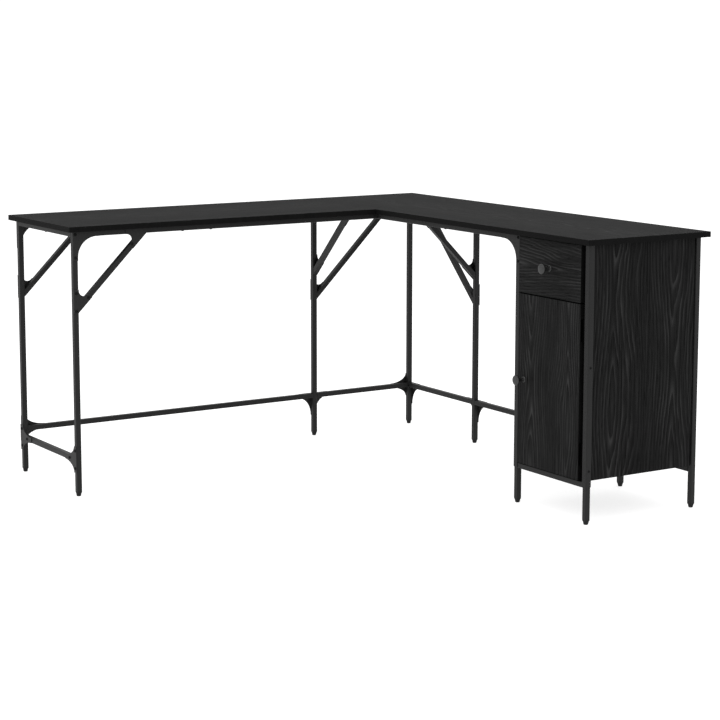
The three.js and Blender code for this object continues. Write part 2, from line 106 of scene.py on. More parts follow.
corners = FLOOR_REACH * np.array([[-1, -1, 0], [1, -1, 0], [1, 1, 0], [-1, 1, 0]])
floor_mesh = bpy.data.meshes.new("studio_floor")
floor_mesh.from_pydata(corners.tolist(), [], [[0, 1, 2, 3]])
floor = bpy.data.objects.new("studio_floor", floor_mesh)
bpy.context.scene.collection.objects.link(floor)
floor_paint = bpy.data.materials.new("studio_floor_paint")
floor_paint.use_nodes = True
floor_shader = floor_paint.node_tree.nodes["Principled BSDF"]
floor_shader.inputs["Base Color"].default_value = (FLOOR_WHITE, FLOOR_WHITE, FLOOR_WHITE, 1)
floor_shader.inputs["Emission Color"].default_value = (1, 1, 1, 1)
floor_shader.inputs["Emission Strength"].default_value = FLOOR_GLOW
floor_shader.inputs["Roughness"].default_value = 0.9
floor_shader.inputs["Specular IOR Level"].default_value = 0.0
floor_mesh.materials.append(floor_paint)

world = bpy.data.worlds.new("white_surround")
world.use_nodes = True
surround = world.node_tree.nodes["Background"]
surround.inputs["Color"].default_value = (1, 1, 1, 1)
surround.inputs["Strength"].default_value = SURROUND_GLOW
bpy.context.scene.world = world


# ---- steel frame ----------------------------------------------------------------------------
# Square tube and bent sheet, cut, punched and coated with black powder that is baked on. The
# coat has a fine orange peel and a slightly cloudy sheen. The frame's own shapes stay.
class Wire:
    """An output of a finish's nodes. Sums and products of wires add Math nodes."""

    def __init__(self, tree, socket=None):
        self.tree = tree
        self.socket = socket

    def feed(self, node, inlets):
        """Gives a node's sockets their wires or values."""
        for key, value in inlets.items():
            if isinstance(value, Wire):
                self.tree.links.new(value.socket, node.inputs[key])
            else:
                node.inputs[key].default_value = value

    def node(self, kind, settings, inlets, outlet=0):
        """Adds a node, makes its settings, feeds its sockets, and gives one of its outputs."""
        made = self.tree.nodes.new("ShaderNode" + kind)
        stops = settings.pop("stops", None)
        for key, value in settings.items():
            setattr(made, key, value)
        if stops:
            ramp = made.color_ramp.elements
            while len(ramp) < len(stops):
                ramp.new(0.5)
            for stop, (place, level) in zip(ramp, stops):
                stop.position = place
                stop.color = (level, level, level, 1)
        self.feed(made, inlets)
        return Wire(self.tree, made.outputs[outlet])

    def math(self, operation, *values):
        return self.node("Math", {"operation": operation}, dict(enumerate(values)))

    def __add__(self, other):
        return self.math("ADD", self, other)

    def __sub__(self, other):
        return self.math("SUBTRACT", self, other)

    def __rsub__(self, other):
        return self.math("SUBTRACT", other, self)

    def __mul__(self, other):
        return self.math("MULTIPLY", self, other)

    def __truediv__(self, other):
        return self.math("DIVIDE", self, other)

    __radd__ = __add__
    __rmul__ = __mul__


def new_finish(name):
    """A material with its shader, and the wire of the Object coordinates in it."""
    finish = bpy.data.materials.new(name)
    finish.use_nodes = True
    start = Wire(finish.node_tree)
    where = start.node("TexCoord", {}, {}, "Object")
    return finish, finish.node_tree.nodes["Principled BSDF"], where


def noise(where, scale, detail=2.0, stretch=(1, 1, 1), shift=(0, 0, 0)):
    """Noise from 0 to 1 of so many cells to the metre, stretched along the axes."""
    turned = where.node("Mapping", {}, {"Vector": where, "Location": shift, "Scale": stretch})
    return where.node("TexNoise", {}, {"Vector": turned, "Scale": scale, "Detail": detail}, "Fac")


def grey(value):
    return (value, value, value, 1)


def tint(factor, dark, light):
    """The colour that a factor from 0 to 1 picks between two."""
    mixing = {"data_type": "RGBA", "clamp_factor": True}
    return factor.node("Mix", mixing, {0: factor, 6: dark, 7: light}, 2)


def bump(height, distance, strength=1.0):
    """A surface normal that follows a height from 0 to 1, over a distance in metres."""
    sizes = {"Height": height, "Distance": distance, "Strength": strength}
    return height.node("Bump", {}, sizes, "Normal")


POWDER_GLOSS = 0.16


def powder_coat(name, dark, light):
    """A cloud of slightly lighter and duller coat, under the fine bumps of orange peel."""
    finish, shader, where = new_finish(name)
    cloud = noise(where, 7.0, 3.0)
    peel = noise(where, 900.0, 1.0)
    grit = noise(where, 2600.0, 1.0)
    shade = cloud * 0.6 + grit * 0.5 - 0.05
    where.feed(shader, {
        "Base Color": tint(shade, dark, light),
        "Roughness": 0.50 + (cloud - 0.5) * 0.16 + (peel - 0.5) * 0.10,
        "Normal": bump(peel * 0.7 + grit * 0.3, 0.00012, 0.35),
    })
    shader.inputs["Specular IOR Level"].default_value = POWDER_GLOSS
    return finish


frame_coat = powder_coat("black_frame_powder_coat", grey(0.007), grey(0.013))
bracket_coat = powder_coat("black_bracket_powder_coat", grey(0.008), grey(0.014))


def refinish(starts, finish):
    """The frame's nodes whose names start so keep their shape and take a finer finish."""
    for name, node in frame["nodes"].items():
        if name.startswith(starts):
            for holder in node.material_slots:
                holder.material = finish


TUBES = ("leg_", "rail_", "apron_", "inner_corner_frame", "cabinet_top", "cabinet_floor")
BRACKETS = ("gusset_", "brace_")
refinish(TUBES, frame_coat)
refinish(BRACKETS, bracket_coat)


# ---- feet -----------------------------------------------------------------------------------
# Moulded plugs of black plastic, pressed into the tubes from below. Each has a square collar
# against the tube's end, turns round as it tapers, and ends in a small domed pad.
def skin(rings):
    """Closes rings of points, an array (rings, points, 3), into a solid with outward faces:
    quads join each ring to the next, and one face fills each end."""
    rows, columns = rings.shape[:2]
    index = np.arange(rows * columns).reshape(rows, columns)
    wrapped = np.hstack([index, index[:, :1]])
    sides = [wrapped[:-1, :-1], wrapped[:-1, 1:], wrapped[1:, 1:], wrapped[1:, :-1]]
    quads = np.stack(sides, -1).reshape(-1, 4)
    ends = [index[0, ::-1], index[-1]]
    points = rings.reshape(-1, 3)
    fans = [np.stack([np.full(columns - 2, end[0]), end[1:-1], end[2:]], -1) for end in ends]
    triangles = np.vstack([quads[:, [0, 1, 2]], quads[:, [0, 2, 3]], *fans])
    a, b, c = (points[triangles[:, side]] for side in range(3))
    outward = np.sum(a * np.cross(b, c)) > 0
    turn = slice(None) if outward else slice(None, None, -1)
    return points, [quads[:, turn], *(end[None, turn] for end in ends)]


def piece(name, skins, finish, body, smooth_below=0.0, edging=None):
    """An object of one or more closed skins, which rides on a body. Edges that bend by less
    than smooth_below degrees shade smooth. A board's edging goes on all but its two faces,
    which are the polygons of more than four sides."""
    starts = np.cumsum([0] + [len(points) for points, _ in skins])
    points = np.vstack([points for points, _ in skins])
    faces = []
    for start, (_, groups) in zip(starts, skins):
        faces += sum([(group + start).tolist() for group in groups], [])
    mesh = bpy.data.meshes.new(name)
    mesh.from_pydata(points.tolist(), [], faces)
    if smooth_below:
        mesh.polygons.foreach_set("use_smooth", np.ones(len(mesh.polygons), bool))
        mesh.set_sharp_from_angle(angle=math.radians(smooth_below))
    mesh.materials.append(finish)
    if edging:
        mesh.materials.append(edging)
        sides = np.zeros(len(mesh.polygons), np.int32)
        mesh.polygons.foreach_get("loop_total", sides)
        mesh.polygons.foreach_set("material_index", (sides == 4).astype(np.int32))
    made = bpy.data.objects.new(name, mesh)
    bpy.context.scene.collection.objects.link(made)
    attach(made, body)
    return made


def moulded_plastic(name, dark, light, gloss=0.16):
    """Plain plastic or paint with a fine spark and upright scuffs."""
    finish, shader, where = new_finish(name)
    spark = noise(where, 1800.0, 2.0)
    scuff = noise(where, 120.0, 4.0, (1, 1, 0.3))
    where.feed(shader, {
        "Base Color": tint(scuff * 0.8 + spark * 0.2, dark, light),
        "Roughness": 0.48 + scuff * 0.2,
        "Normal": bump(spark, 0.00006, 0.5),
    })
    shader.inputs["Specular IOR Level"].default_value = gloss
    return finish


LEGS = [name.removeprefix("leg_") for name in frame["nodes"] if name.startswith("leg_")]
foot_plastic = moulded_plastic("black_foot_plastic", grey(0.004), grey(0.010))


def leg_centre(leg):
    """The point on the floor below the middle of a leg."""
    low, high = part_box("leg_" + leg)
    return np.array([(low.x + high.x) / 2, (low.y + high.y) / 2, 0.0])


def foot_rings(centre, tube_half, tube_end, top):
    """Rings whose half-width falls with height, |cos|^p + |sin|^p = 1 in plan: p of 9 is
    nearly square, and p of 2 is round. Columns: height, half-width, p."""
    steps = np.array([
        [0.0, 0.0048, 2.0],
        [0.0004, 0.0055, 2.0],
        [0.0012, 0.0060, 2.0],
        [0.0028, 0.0065, 2.1],
        [0.0052, 0.0068, 2.3],
        [tube_end - 0.0040, tube_half - 0.0006, 3.0],
        [tube_end - 0.0021, tube_half - 0.0004, 5.0],
        [tube_end - 0.0017, tube_half - 0.0001, 8.0],
        [tube_end - 0.0004, tube_half - 0.0001, 9.0],
        [tube_end - 0.0002, tube_half - 0.0004, 9.0],
        [tube_end - 0.0002, tube_half - 0.0017, 9.0],
        [top, tube_half - 0.0019, 9.0],
    ])
    height, reach, power = steps[:, 0:1], steps[:, 1:2], steps[:, 2:3]
    angle = np.linspace(0, 2 * np.pi, 48, endpoint=False)[None]
    spread = (np.abs(np.cos(angle)) ** power + np.abs(np.sin(angle)) ** power) ** (-1 / power)
    flat = [reach * spread * np.cos(angle), reach * spread * np.sin(angle)]
    return centre + np.stack([*flat, np.broadcast_to(height, flat[0].shape)], -1)


for leg in LEGS:
    tube_low, tube_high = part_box("leg_" + leg)
    stem_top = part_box("foot_" + leg)[1].z
    half_tube = (tube_high.x - tube_low.x) / 2
    rings = foot_rings(leg_centre(leg), half_tube, tube_low.z, stem_top)
    foot = piece("foot_plug_" + leg, [skin(rings)], foot_plastic, "root", 40)
    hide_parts("foot_" + leg)


# ---- bracket bolts --------------------------------------------------------------------------
# Button-head machine screws with a hexagon socket hold each gusset and brace to the tubes.
# They have a black oxide finish, darker than the powder coat round them.
BOLT_RADIUS = 0.0046
BOLT_HEIGHT = 0.0024
BOLT_SINK = 0.0006
SOCKET_SHARE = 0.36
TOP_GUSSET_BOLT_BELOW_TOP = 0.0080
TOP_GUSSET_BOLT_ABOVE_END = 0.0085
BRACE_HEEL = 0.002
BRACE_STRIP = 0.015
BRACE_LEG_BOLTS = (0.004, 0.054)
BRACE_LOW_BOLT = (0.0365, 0.0405)
BRACE_HIGH_BOLT = (0.0370, 0.0437)
RAIL_BOLT_REACH = 0.037
TEE_BOLT_RISE = 0.025
DROP_BOLT_FALL = 0.046
OXIDE_GLOSS = 0.10


def black_oxide(name):
    """Nearly black, and a little duller where it is worn."""
    finish, shader, where = new_finish(name)
    wear = noise(where, 400.0, 3.0)
    where.feed(shader, {
        "Base Color": tint(wear, grey(0.0010), grey(0.0060)),
        "Roughness": 0.36 + wear * 0.20,
        "Normal": bump(wear, 0.00004, 0.4),
    })
    shader.inputs["Specular IOR Level"].default_value = OXIDE_GLOSS
    return finish


def bolt(place, facing, radius=BOLT_RADIUS, height=BOLT_HEIGHT):
    """A domed head on a plane: each ring has a radius and a height, and the socket's rings are
    hexagons, whose reach is the flat's distance over cos of the angle from it."""
    facing = np.array(facing, float)
    side = np.cross(facing, [0, 0, 1]) if abs(facing[2]) < 0.5 else np.array([1.0, 0, 0])
    side /= np.linalg.norm(side)
    up = np.cross(facing, side)
    angle = np.linspace(0, 2 * np.pi, 24, endpoint=False)
    hexagon = SOCKET_SHARE * radius / np.cos((angle + np.pi / 6) % (np.pi / 3) - np.pi / 6)
    rise = np.radians(np.array([0, 14, 28, 40, 50]))
    outer = radius * np.cos(rise)
    rounds = np.vstack([[radius], outer[:, None]]) * np.ones(24)
    reach = np.vstack([rounds, hexagon * 1.12, hexagon, hexagon * 0.96])
    dome = height * np.sin(rise) / np.sin(rise[-1])
    level = np.concatenate([[-BOLT_SINK], dome, [height * 1.03, height * 0.97, height * 0.3]])
    flat = reach[..., None] * (np.cos(angle)[:, None] * side + np.sin(angle)[:, None] * up)
    return skin(np.array(place) + flat + level[:, None, None] * facing)


bolt_steel = black_oxide("black_oxide_bolt_steel")
HEADINGS = {"east": (1, 0, 0), "west": (-1, 0, 0), "north": (0, 1, 0), "south": (0, -1, 0)}


def bolts_on(bracket, leg, heading, facing, spots):
    """Bolts on a bracket's outer face, at (reach from the leg's middle, height) spots."""
    low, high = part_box(bracket)
    centre = leg_centre(leg)
    face = np.array(HEADINGS[facing], float)
    axis = int(np.argmax(np.abs(face)))
    level = (high if face[axis] > 0 else low)[axis]
    along = np.array(HEADINGS[heading], float)
    made = []
    for reach, height in spots:
        place = centre + along * reach + np.array([0, 0, height])
        place[axis] = level
        made.append(bolt(place, face))
    return made


def bolt_group(bracket, skins):
    piece("bolts_" + bracket, skins, bolt_steel, "root", 50)


gusset_end, gusset_top = (corner.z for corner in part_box("gusset_top_left_front"))
top_spots = [
    (0.0, gusset_top - TOP_GUSSET_BOLT_BELOW_TOP),
    (0.0, gusset_end + TOP_GUSSET_BOLT_ABOVE_END),
]
for bracket, leg, heading, facing in (
    ("gusset_top_left_front", "left_front", "east", "south"),
    ("gusset_top_left_back", "left_back", "east", "north"),
    ("gusset_top_cabinet", "cabinet_front_inner", "north", "west"),
):
    bolt_group(bracket, bolts_on(bracket, leg, heading, facing, top_spots))

for bracket, leg, heading, facing in (
    ("brace_left_front", "left_front", "east", "south"),
    ("brace_left_back", "left_back", "east", "north"),
    ("brace_back_long", "back_middle", "east", "north"),
    ("brace_back_cross", "back_middle", "south", "east"),
    ("brace_side_long", "right_middle", "north", "east"),
    ("brace_side_cross", "right_middle", "west", "north"),
):
    low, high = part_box(bracket)
    drop = high.z - low.z - BRACE_STRIP - BRACE_HEEL
    foot_of_brace = low.z + BRACE_HEEL
    spots = [(0.0, foot_of_brace + rise) for rise in BRACE_LEG_BOLTS]
    spots.append((BRACE_LOW_BOLT[0], foot_of_brace + BRACE_LOW_BOLT[1]))
    spots.append((drop - BRACE_HIGH_BOLT[0], high.z - BRACE_HIGH_BOLT[1]))
    bolt_group(bracket, bolts_on(bracket, leg, heading, facing, spots))

long_rail = sum(corner.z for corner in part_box("rail_back_left")) / 2
end_rail = sum(corner.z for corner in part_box("rail_left_end")) / 2


def tee_spots(rail):
    """Two bolts on the leg, above and below the rail, and one on the rail."""
    return [(0.0, rail + TEE_BOLT_RISE), (0.0, rail - TEE_BOLT_RISE), (RAIL_BOLT_REACH, rail)]


def drop_spots(rail):
    """One bolt on the leg, below the rail, and one on the rail."""
    return [(0.0, rail - DROP_BOLT_FALL), (RAIL_BOLT_REACH, rail)]


LOW_GUSSETS = {
    "gusset_low_left_front": [("left_front", "north", "west", tee_spots(end_rail))],
    "gusset_low_left_back": [
        ("left_back", "east", "north", tee_spots(long_rail)),
        ("left_back", "south", "west", tee_spots(end_rail)),
    ],
    "gusset_low_corner": [
        ("corner", "west", "north", tee_spots(long_rail)),
        ("corner", "south", "east", drop_spots(long_rail)),
    ],
    "gusset_low_back": [
        ("back_middle", "east", "north", drop_spots(long_rail)),
        ("back_middle", "west", "north", drop_spots(long_rail)[1:]),
    ],
    "gusset_low_side": [
        ("right_middle", "north", "east", drop_spots(long_rail)),
        ("right_middle", "south", "east", drop_spots(long_rail)[1:]),
    ],
}
for bracket, wings in LOW_GUSSETS.items():
    skins = [one for wing in wings for one in bolts_on(bracket, *wing)]
    bolt_group(bracket, skins)


# ---- corner angles --------------------------------------------------------------------------
# The cabinet's two front posts wear an angle of folded steel sheet round their outer front
# corner. It is coated with the frame, and two bolts fix it to the post.
ANGLE_SHEET = 0.0015
ANGLE_LEG = 0.0166
ANGLE_BEND = 0.0020
ANGLE_BOTTOM = 0.1015
ANGLE_FIT = 0.0001
ANGLE_BELOW_GUSSET = 0.0005
ANGLE_BELOW_BOARD = 0.0006
FRAME_BOLT_RADIUS = 0.0034
FRAME_BOLT_HEIGHT = 0.0016
FRAME_BOLT_LEVELS = (0.145, 0.421)


def folded_angle(corner, toward_x, toward_y, low, high):
    """The L outline of a folded sheet, round on the outside of its fold, carried upright. The
    corner is the sharp outside corner, and the legs run toward_x and toward_y (+1 or -1)."""
    turn = np.linspace(0, np.pi / 2, 7)
    fold = ANGLE_BEND * np.stack([1 - np.sin(turn), 1 - np.cos(turn)], -1)
    tail = [[ANGLE_LEG, ANGLE_SHEET], [ANGLE_SHEET, ANGLE_SHEET], [ANGLE_SHEET, ANGLE_LEG]]
    plan = np.vstack([[0.0, ANGLE_LEG], fold[::-1], [ANGLE_LEG, 0.0], tail])
    plan = np.array(corner) + plan * [toward_x, toward_y]
    rings = np.stack([np.column_stack([plan, np.full(len(plan), z)]) for z in (low, high)])
    return skin(rings)


below_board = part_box("top_board_left")[0].z - ANGLE_BELOW_BOARD
below_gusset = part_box("gusset_top_cabinet")[0].z - ANGLE_BELOW_GUSSET
for leg, toward_y, facing, angle_top in (
    ("cabinet_front_outer", 1, "south", below_board),
    ("cabinet_front_inner", -1, "north", below_gusset),
):
    low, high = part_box("leg_" + leg)
    outer_y = low.y if toward_y > 0 else high.y
    proud = ANGLE_SHEET + ANGLE_FIT
    corner = (low.x - proud, outer_y - toward_y * proud)
    angle = folded_angle(corner, 1, toward_y, ANGLE_BOTTOM, angle_top)
    spots = [(leg_centre(leg)[0], corner[1], level) for level in FRAME_BOLT_LEVELS]
    normal = HEADINGS[facing]
    bolts = [bolt(spot, normal, FRAME_BOLT_RADIUS, FRAME_BOLT_HEIGHT) for spot in spots]
    piece("angle_" + leg, [angle], bracket_coat, "root", 40)
    piece("bolts_angle_" + leg, bolts, bolt_steel, "root", 50)


# ---- board screws ---------------------------------------------------------------------------
# Button-head screws come up through the tubes below the top and hold the two boards down.
# Their heads show under the aprons and under the frame at the inner corner.
SCREW_RADIUS = 0.0042
SCREW_HEIGHT = 0.0022
LONG_SHARES = (0.337, 0.428, 0.78)
SIDE_SHARES = (0.5, 0.85)
MIDDLE_SHARES = (0.5,)
SIDE_CORNER_SHARES = (0.9,)
BACK_CORNER_SHARES = (0.92,)
apron_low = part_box("apron_back_left")[0].z


def row_of_screws(start, end, shares):
    """Screw heads below a tube, at shares of the way from its start to its end."""
    start, end = np.array(start), np.array(end)
    places = [start + (end - start) * share for share in shares]
    return [bolt((x, y, apron_low), (0, 0, -1), SCREW_RADIUS, SCREW_HEIGHT) for x, y in places]


left_x, knee_x, right_x = (leg_centre(leg)[0] for leg in ("left_back", "back_middle", "corner"))
back_y, knee_y = (leg_centre(leg)[1] for leg in ("corner", "right_middle"))
cabinet_y = leg_centre("cabinet_back_inner")[1]
screws = [
    *row_of_screws((left_x, knee_y), (knee_x, knee_y), LONG_SHARES),
    *row_of_screws((left_x, back_y), (knee_x, back_y), LONG_SHARES),
    *row_of_screws((knee_x, knee_y), (knee_x, cabinet_y), MIDDLE_SHARES),
    *row_of_screws((right_x, knee_y), (right_x, cabinet_y), SIDE_SHARES),
    *row_of_screws((right_x, knee_y), (right_x, back_y), SIDE_CORNER_SHARES),
    *row_of_screws((knee_x, back_y), (right_x, back_y), BACK_CORNER_SHARES),
    *row_of_screws((left_x, knee_y), (left_x, back_y), MIDDLE_SHARES),
]
piece("board_screws", screws, bolt_steel, "root", 50)


# ---- desk top -------------------------------------------------------------------------------
# Two boards of particle board, faced with a matt black laminate that is pressed with a shallow
# oak grain, and edged with a thin band. The grain runs along each wing.
ARRIS = 0.0005


def board(low, high, thin, arris=ARRIS, steps=3):
    """A board whose thin axis is given. The outline is a rectangle with corners of two arrises'
    radius; each ring is drawn in by arris * (1 - cos) as it climbs by arris * sin."""
    low, high = np.array(low), np.array(high)
    wide = [axis for axis in range(3) if axis != thin]
    middle, half = (low + high) / 2, (high - low) / 2
    corner = 2 * arris
    quarter = np.arange(4).repeat(steps + 1)
    turn = np.radians(quarter * 90 + np.tile(np.linspace(0, 90, steps + 1), 4))
    signs = np.array([[1, 1], [-1, 1], [-1, -1], [1, -1]])[quarter]
    climb = np.linspace(0, 90, steps + 1)
    rise = np.radians(np.concatenate([climb - 90, climb]))
    side = np.repeat([-1, 1], steps + 1)
    reach = corner - arris + arris * np.cos(rise)
    flat = signs * (half[wide] - corner)
    rings = np.zeros((len(rise), len(turn), 3))
    rings[..., wide[0]] = flat[:, 0] + reach[:, None] * np.cos(turn)
    rings[..., wide[1]] = flat[:, 1] + reach[:, None] * np.sin(turn)
    rings[..., thin] = (side * (half[thin] - arris) + arris * np.sin(rise))[:, None]
    return skin(middle + rings)


def cells(along, lengthwise, crosswise):
    """Noise cells to the metre on each axis, where along is the axis of the grain."""
    counts = [crosswise] * 3
    counts[along] = lengthwise
    return counts


def black_oak(name, along, across, heart, leaf, dark, light, figure=1.0, rings=90.0,
              swing=1.1, period=0.62, gloss=0.04, roughness=0.60, shift=(0, 0, 0)):
    """Pressed oak grain. Growth lines are the whole numbers of a phase that counts rings out
    from the heart line of each sliced leaf and swings to and fro along it, so that they close
    into tall lenses; slow noise bends them. They fade with the distance from the heart, where
    fine fibres and short pores take over."""
    finish, shader, where = new_finish(name)
    axes = [where.node("SeparateXYZ", {}, {0: where}, axis) for axis in range(3)]
    bend = noise(where, 1.0, 3.0, cells(along, 2.0, 9.0), shift)
    patch = noise(where, 1.0, 2.0, cells(along, 7.0, 60.0), (3.1, 1.7, 0.4))
    fibre = noise(where, 1.0, 4.0, cells(along, 4.0, 380.0))
    pores = noise(where, 1.0, 1.0, cells(along, 30.0, 700.0))
    leaves = (axes[across] + (bend - 0.5) * 0.06 - heart) / leaf
    number = leaves.math("ROUND", leaves)
    offset = (leaves - number) * leaf
    spread = offset * offset
    distance = (spread + 0.00004).math("SQRT", spread + 0.00004)
    sway = axes[along] * (2 * math.pi / period) + number * 2.1
    phase = distance * rings + sway.math("COSINE", sway) * swing + bend * 3.0 + fibre * 0.25
    saw = phase.math("FRACT", phase)
    stops = [(0.0, 0.0), (0.12, 1.0), (0.34, 0.40), (0.60, 0.08), (1.0, 0.0)]
    growth = saw.node("ValToRGB", {"stops": stops}, {0: saw})
    fading = spread * (-1 / (0.36 * leaf) ** 2)
    near_heart = 0.18 + fading.math("EXPONENT", fading) * 0.82
    showing = patch.node("MapRange", {}, {0: patch, 1: 0.38, 2: 0.62, 3: 0.25, 4: 1.0})
    pore = pores.node("MapRange", {}, {0: pores, 1: 0.58, 2: 0.70, 3: 0.0, 4: 1.0})
    line = growth * showing * near_heart
    shade = line * (0.95 * figure) + (fibre - 0.5) * 0.95 + 0.22 - pore * 0.26
    height = line * 0.6 + fibre * 0.35 - pore * 0.5
    where.feed(shader, {
        "Base Color": tint(shade, dark, light),
        "Roughness": (fibre - 0.5) * 0.2 - line * 0.10 + roughness,
        "Normal": bump(height, 0.00022, 0.5),
    })
    shader.inputs["Specular IOR Level"].default_value = gloss
    return finish


# The boards' laminate is coloured lighter than the cabinet's, as painted light from above: the top is
# a lit copy of the same laminate.
top_laminate_lit_copy = {
    "dark": grey(0.008),
    "light": grey(0.032),
    "figure": 0.6,
    "gloss": 0.02,
    "roughness": 0.76,
}
left_top = black_oak(
    "black_oak_left_top", along=0, across=1, heart=0.52, leaf=0.31, **top_laminate_lit_copy,
)
right_top = black_oak(
    "black_oak_right_top", along=1, across=0, heart=0.47, leaf=0.29, shift=(0.6, 2.2, 0),
    **top_laminate_lit_copy,
)
edge_band = moulded_plastic("black_edge_band", grey(0.0015), grey(0.0065), gloss=0.03)
for side, finish in (("left", left_top), ("right", right_top)):
    node = "top_board_" + side
    skins = [board(*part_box(node), thin=2)]
    made = piece("wing_board_" + side, skins, finish, "root", edging=edge_band)
    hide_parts(node)


# ---- cabinet --------------------------------------------------------------------------------
# Two end panels, a back and a bottom, all cut from the same laminated board. The grain stands
# upright in all but the bottom. The end panels are bolted between the legs, a little behind
# their outer faces, and the outer one reaches up to the top board.
BOTTOM_BEHIND_DOOR = 0.0015
# The cabinet's laminate, on the panels, the drawer front and the door, is coloured darker than the
# top's, as painted shade on the cabinet's faces, which take less light than the top: a shaded copy of
# the same laminate.
PANEL_SHADED_DARK = grey(0.0008)
panel_laminate_shaded_copy = {"dark": PANEL_SHADED_DARK, "light": grey(0.024)}
end_oak = black_oak(
    "black_oak_end_panels", along=2, across=0, heart=0.400, leaf=0.205, **panel_laminate_shaded_copy,
)
back_oak = black_oak(
    "black_oak_back_panel", along=2, across=1, heart=-0.60, leaf=0.19, **panel_laminate_shaded_copy,
)
bottom_oak = black_oak(
    "black_oak_bottom_panel", along=1, across=0, heart=0.45, leaf=0.20, **panel_laminate_shaded_copy,
)
for node, name, thin, finish in (
    ("cabinet_end_outer", "end_panel_outer", 1, end_oak),
    ("cabinet_end_inner", "end_panel_inner", 1, end_oak),
    ("cabinet_back", "back_panel", 0, back_oak),
    ("cabinet_bottom", "bottom_panel", 2, bottom_oak),
):
    low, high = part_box(node)
    if node == "cabinet_bottom":
        low.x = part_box("door")[1].x + BOTTOM_BEHIND_DOOR
    skins = [board(low, high, thin)]
    made = piece(name, skins, finish, "root", edging=edge_band)
    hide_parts(node)


# ---- drawer ---------------------------------------------------------------------------------
# A laminated front with lying grain is screwed to a box of plain black board. The box has two
# sides, an inner front and a back between them, and a thin bottom that slides into grooves.
drawer_oak = black_oak(
    "black_oak_drawer_front", along=1, across=2, heart=0.668, leaf=0.17,
    dark=PANEL_SHADED_DARK, light=grey(0.029), rings=120.0, swing=1.6, period=0.70, shift=(0.3, 0.9, 0.2),
)
skins = [board(*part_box("drawer_front"), thin=0)]
made = piece("drawer_front_board", skins, drawer_oak, "drawer", edging=edge_band)
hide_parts("drawer_front")

BOX_SIDE = 0.010
BOX_JOINT = 0.0002
BOX_FLOOR = 0.004
BOX_FLOOR_TOP = 0.006
BOX_GROOVE = 0.001
box_board = black_oak(
    "black_drawer_box_board", along=0, across=2, heart=0.62, leaf=0.2,
    dark=grey(0.004), light=grey(0.012), figure=0.2,
)
(box_front, box_outer, box_low), (box_back, box_inner, box_high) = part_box("drawer_tray")
joint_outer = box_outer + BOX_SIDE + BOX_JOINT
joint_inner = box_inner - BOX_SIDE - BOX_JOINT
groove = BOX_SIDE - BOX_GROOVE
box_boards = [
    board((box_front, box_outer, box_low), (box_back, box_outer + BOX_SIDE, box_high), thin=1),
    board((box_front, box_inner - BOX_SIDE, box_low), (box_back, box_inner, box_high), thin=1),
    board((box_front, joint_outer, box_low), (box_front + BOX_SIDE, joint_inner, box_high), thin=0),
    board((box_back - BOX_SIDE, joint_outer, box_low), (box_back, joint_inner, box_high), thin=0),
    board(
        (box_front + groove, box_outer + groove, box_low + BOX_FLOOR_TOP - BOX_FLOOR),
        (box_back - groove, box_inner - groove, box_low + BOX_FLOOR_TOP),
        thin=2,
    ),
]
made = piece("drawer_box", box_boards, box_board, "drawer")
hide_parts("drawer_tray")


# ---- drawer runners -------------------------------------------------------------------------
# Rolled channels of zinc-plated steel. The wide one is screwed to the end panel, and the
# narrow one, on the drawer's side, travels inside it on balls.
CHANNEL_SHEET = 0.0012
CHANNEL_HALF_HEIGHT = 0.0175
CHANNEL_LIP = 0.0045
CHANNEL_CLEAR = 0.0010
SLIDE_HALF_HEIGHT = 0.0118
SLIDE_LIP = 0.0030
SLIDE_CLEAR = 0.0030
SLIDE_ENDS = (0.004, 0.002)
BOX_CLEAR = 0.0002


def zinc_plate(name):
    """Bright zinc in soft blooms, with the drawn sheet's fine lines along X."""
    finish, shader, where = new_finish(name)
    drawn = noise(where, 1.0, 3.0, (6.0, 900.0, 900.0))
    bloom = noise(where, 60.0, 3.0)
    where.feed(shader, {
        "Base Color": tint(bloom * 0.6 + drawn * 0.4, (0.40, 0.41, 0.42, 1), (0.58, 0.59, 0.60, 1)),
        "Metallic": 1.0,
        "Roughness": 0.28 + bloom * 0.2,
        "Normal": bump(drawn, 0.00004, 0.5),
    })
    return finish


def channel(length, wall, toward, middle_z, width, half_height, lip):
    """A C section, carried along X. The web is at y = wall, and the lips turn in at the end of
    the flanges, which run width metres toward +Y or -Y."""
    sheet = CHANNEL_SHEET
    tall = half_height
    section = np.array([
        [0, -tall], [width, -tall], [width, lip - tall], [width - sheet, lip - tall],
        [width - sheet, sheet - tall], [sheet, sheet - tall], [sheet, tall - sheet],
        [width - sheet, tall - sheet], [width - sheet, tall - lip], [width, tall - lip],
        [width, tall], [0, tall],
    ])
    y = wall + toward * section[:, 0]
    z = middle_z + section[:, 1]
    return skin(np.stack([np.column_stack([np.full(len(y), x), y, z]) for x in length]))


zinc = zinc_plate("zinc_plated_runner")
for side, toward in (("outer", 1), ("inner", -1)):
    low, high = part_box("runner_" + side)
    middle = (low.z + high.z) / 2
    wall = low.y if toward > 0 else high.y
    thick = high.y - low.y
    width = thick - CHANNEL_CLEAR
    length = (low.x, high.x)
    fixed = channel(length, wall, toward, middle, width, CHANNEL_HALF_HEIGHT, CHANNEL_LIP)
    made = piece("runner_channel_" + side, [fixed], zinc, "root")
    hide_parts("runner_" + side)
    box_face = wall + toward * (thick + BOX_CLEAR)
    width = thick - SLIDE_CLEAR
    length = (box_front + SLIDE_ENDS[0], box_back - SLIDE_ENDS[1])
    slider = channel(length, box_face, -toward, middle, width, SLIDE_HALF_HEIGHT, SLIDE_LIP)
    piece("runner_slide_" + side, [slider], zinc, "drawer")


# ---- knobs ----------------------------------------------------------------------------------
# Mushroom knobs, turned from rod, with a foot, a waisted neck and a flat head with a rolled
# rim. They have a dark satin plating, with faint turning lines round the axis.
KNOB_FIT = 0.0002
KNOB_RIM = 0.0022
KNOB_CROWN = 0.0032
NECK_RADIUS = 0.0058
NECK_WAIST = 0.0009
NECK_START = 0.0035
NECK_LENGTH = 0.0135


